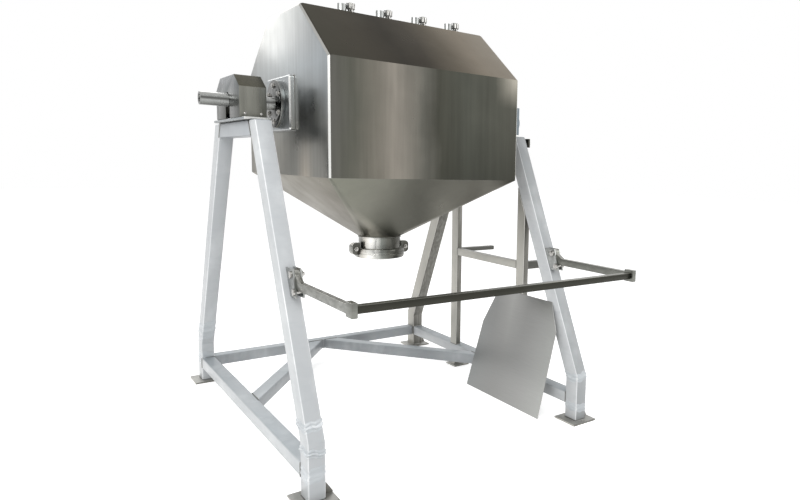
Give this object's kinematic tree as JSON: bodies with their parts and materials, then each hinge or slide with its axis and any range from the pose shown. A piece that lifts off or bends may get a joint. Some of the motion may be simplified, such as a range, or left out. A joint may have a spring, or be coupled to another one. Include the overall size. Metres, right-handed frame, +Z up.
{
  "type": "octagonal tumble blender",
  "caption": "Eight-sided stainless tumbling vessel with a clamped outlet under its hopper, turning on a horizontal shaft between two leaning end frames, with a swing-up safety rail.",
  "frame": {"origin": "on the floor, in the middle of the four floor anchors, straight under the vessel's middle", "axes": "+X along the shaft to the drive end, +Y to the rear, away from the safety rail, +Z up"},
  "size_m": [2.102, 2.5089, 2.3786],
  "materials": {
    "frame_tube": "satin stainless tube, partly under pale protective film",
    "vessel_sheet": "brushed stainless sheet with ground weld seams",
    "cover_sheet": "smooth reflective stainless sheet",
    "turned_steel": "turned stainless shaft",
    "bright_fastener": "bright stainless fasteners",
    "knob_chrome": "polished hand knobs",
    "rail_steel": "satin stainless rail and clamp",
    "seal_rubber": "black seal",
    "bearing_iron": "painted cast housing",
    "drive_paint": "grey machine paint"
  },
  "bodies": {
    "frame": {"left_front_leg": "frame_tube", "left_rear_leg": "frame_tube", "right_front_leg": "frame_tube", "right_rear_leg": "frame_tube", "left_head_tube": "frame_tube", "right_head_tube": "frame_tube", "left_side_beam": "frame_tube", "right_side_beam": "frame_tube", "rear_beam": "frame_tube", "left_diagonal": "frame_tube", "right_diagonal": "frame_tube", "foot_plates": "frame_tube", "foot_gussets": "frame_tube", "front_shelf_post": "frame_tube", "rear_shelf_post": "frame_tube", "shelf_tie": "frame_tube", "front_shelf_bar": "frame_tube", "rear_shelf_bar": "frame_tube", "post_foot": "frame_tube", "left_bearing_cover": "cover_sheet", "right_bearing_cover": "cover_sheet", "left_bearing_plate": "cover_sheet", "right_bearing_plate": "cover_sheet", "guard_panel": "cover_sheet", "bearing_bolts": "bright_fastener", "rail_pins": "bright_fastener", "torque_bolt": "bright_fastener", "rail_brackets": "rail_steel", "torque_arm": "rail_steel", "left_pillow_block": "bearing_iron", "right_pillow_block": "bearing_iron", "gearbox": "drive_paint", "motor": "drive_paint"},
    "vessel": {"vessel_body": "vessel_sheet", "vessel_hopper": "vessel_sheet", "left_trunnion_pad": "vessel_sheet", "right_trunnion_pad": "vessel_sheet", "left_shaft": "turned_steel", "right_shaft": "turned_steel", "flange_screws": "bright_fastener", "drive_sleeve": "turned_steel", "hatch_seat": "vessel_sheet", "hatch_gasket": "seal_rubber", "hatch_hinge_ears": "vessel_sheet", "hatch_hinge_pins": "bright_fastener", "outlet_neck": "vessel_sheet", "outlet_gasket": "seal_rubber", "outlet_cap": "vessel_sheet"},
    "hatch_lid": {"hatch_lid": "vessel_sheet"},
    "clamp_rear": {"clamp_rear_half": "rail_steel", "clamp_bolts": "bright_fastener"},
    "clamp_front": {"clamp_front_half": "rail_steel", "clamp_nuts": "bright_fastener"},
    "rail": {"left_rail_arm": "rail_steel", "right_rail_arm": "rail_steel", "rail_bar": "rail_steel"},
    "knob_1": {"clamp_knob_1": "knob_chrome"},
    "knob_2": {"clamp_knob_2": "knob_chrome"},
    "knob_3": {"clamp_knob_3": "knob_chrome"},
    "knob_4": {"clamp_knob_4": "knob_chrome"}
  },
  "joints": [
    {"name": "vessel_spin", "type": "hinge", "parent": "frame", "child": "vessel", "pos_m": [0, 0, 1.81], "axis": [1, 0, 0], "continuous": true},
    {"name": "hatch_hinge", "type": "hinge", "parent": "vessel", "child": "hatch_lid", "pos_m": [0.05, 0.2113, 2.3383], "axis": [-1, 0, 0], "range_deg": [0, 100]},
    {"name": "clamp_rear_slide", "type": "slide", "parent": "vessel", "child": "clamp_rear", "axis": [0, 1, 0], "range_m": [0, 0.06]},
    {"name": "clamp_front_slide", "type": "slide", "parent": "vessel", "child": "clamp_front", "axis": [0, -1, 0], "range_m": [0, 0.06]},
    {"name": "rail_hinge", "type": "hinge", "parent": "frame", "child": "rail", "pos_m": [0, -0.7764, 0.988], "axis": [-1, 0, 0], "range_deg": [0, 75]},
    {"name": "knob_1_turn", "type": "hinge", "parent": "hatch_lid", "child": "knob_1", "pos_m": [-0.259, -0.1797, 2.35], "axis": [0, 0, 1], "continuous": true},
    {"name": "knob_2_turn", "type": "hinge", "parent": "hatch_lid", "child": "knob_2", "pos_m": [-0.033, -0.1797, 2.35], "axis": [0, 0, 1], "continuous": true},
    {"name": "knob_3_turn", "type": "hinge", "parent": "hatch_lid", "child": "knob_3", "pos_m": [0.193, -0.1797, 2.35], "axis": [0, 0, 1], "continuous": true},
    {"name": "knob_4_turn", "type": "hinge", "parent": "hatch_lid", "child": "knob_4", "pos_m": [0.419, -0.1797, 2.35], "axis": [0, 0, 1], "continuous": true}
  ]
}
